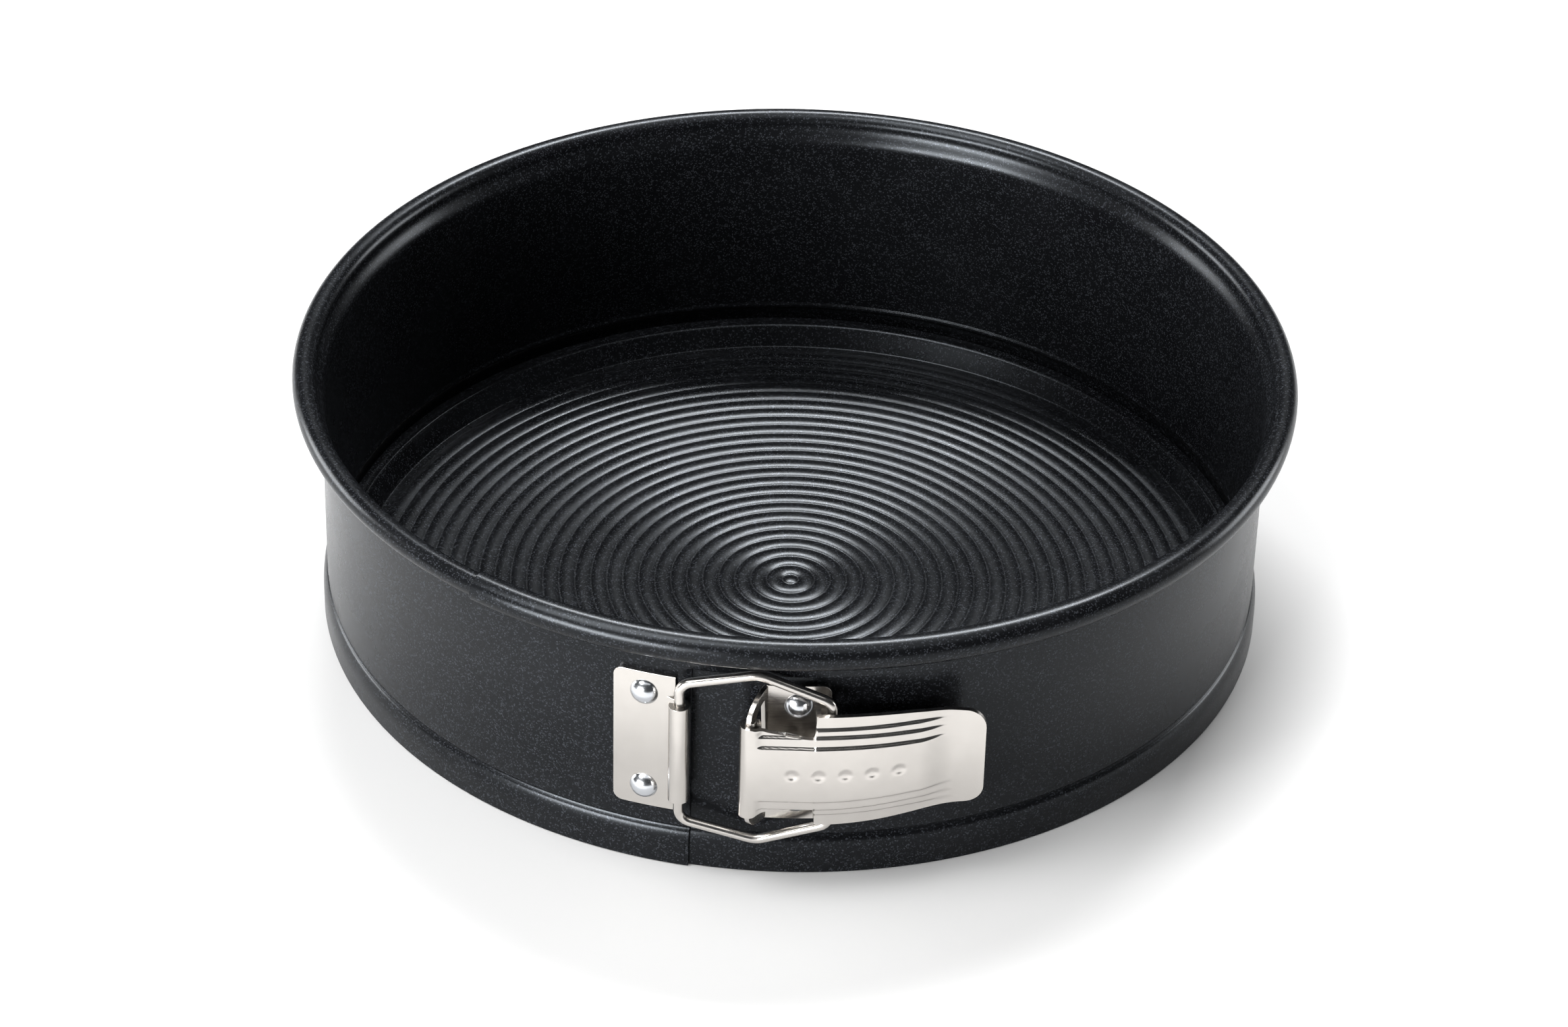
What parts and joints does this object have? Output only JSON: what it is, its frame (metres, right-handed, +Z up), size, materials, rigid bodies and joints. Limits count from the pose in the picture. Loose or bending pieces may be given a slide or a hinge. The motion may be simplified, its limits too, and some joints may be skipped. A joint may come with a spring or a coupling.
{
  "type": "springform pan",
  "caption": "Round baking tin with a lapped side ring, a loose ridged base, and an over-centre lever and wire-bail latch that opens the ring.",
  "frame": {"origin": "centre of the base disc's underside, on the surface the pan stands on", "axes": "+Z up through the centre of the ring, -Y towards the latch, +X to the right seen from the latch side"},
  "size_m": [0.2436, 0.2463, 0.0683],
  "materials": {
    "nonstick_coating": "satin charcoal non-stick coating with fine metallic flecks",
    "nickel_plate": "bright nickel plate over pressed steel",
    "rivet_steel": "polished steel rivet heads"
  },
  "bodies": {
    "base": {"base_disc": "nonstick_coating"},
    "ring": {"side_band": "nonstick_coating", "left_bracket": "nickel_plate", "right_bracket": "nickel_plate", "left_rivet_upper": "rivet_steel", "left_rivet_lower": "rivet_steel", "right_rivet_upper": "rivet_steel", "right_rivet_lower": "rivet_steel"},
    "lever": {"latch_lever": "nickel_plate"},
    "bail": {"wire_bail": "nickel_plate"}
  },
  "joints": [
    {"name": "ring_lift", "type": "slide", "parent": "base", "child": "ring", "axis": [0, 0, 1], "range_m": [0, 0.08]},
    {"name": "lever_swing", "type": "hinge", "parent": "ring", "child": "lever", "pos_m": [-0.008, -0.1218, 0.0347], "axis": [0, 0, -1], "range_deg": [0, 160]},
    {"name": "bail_swing", "type": "hinge", "parent": "ring", "child": "bail", "pos_m": [-0.02417, -0.11632, 0.0347], "axis": [0, 0, -1], "range_deg": [0, 80]}
  ],
  "couplings": [
    {"joint": "bail_swing", "follows": "lever_swing", "ratio": 0.5}
  ]
}
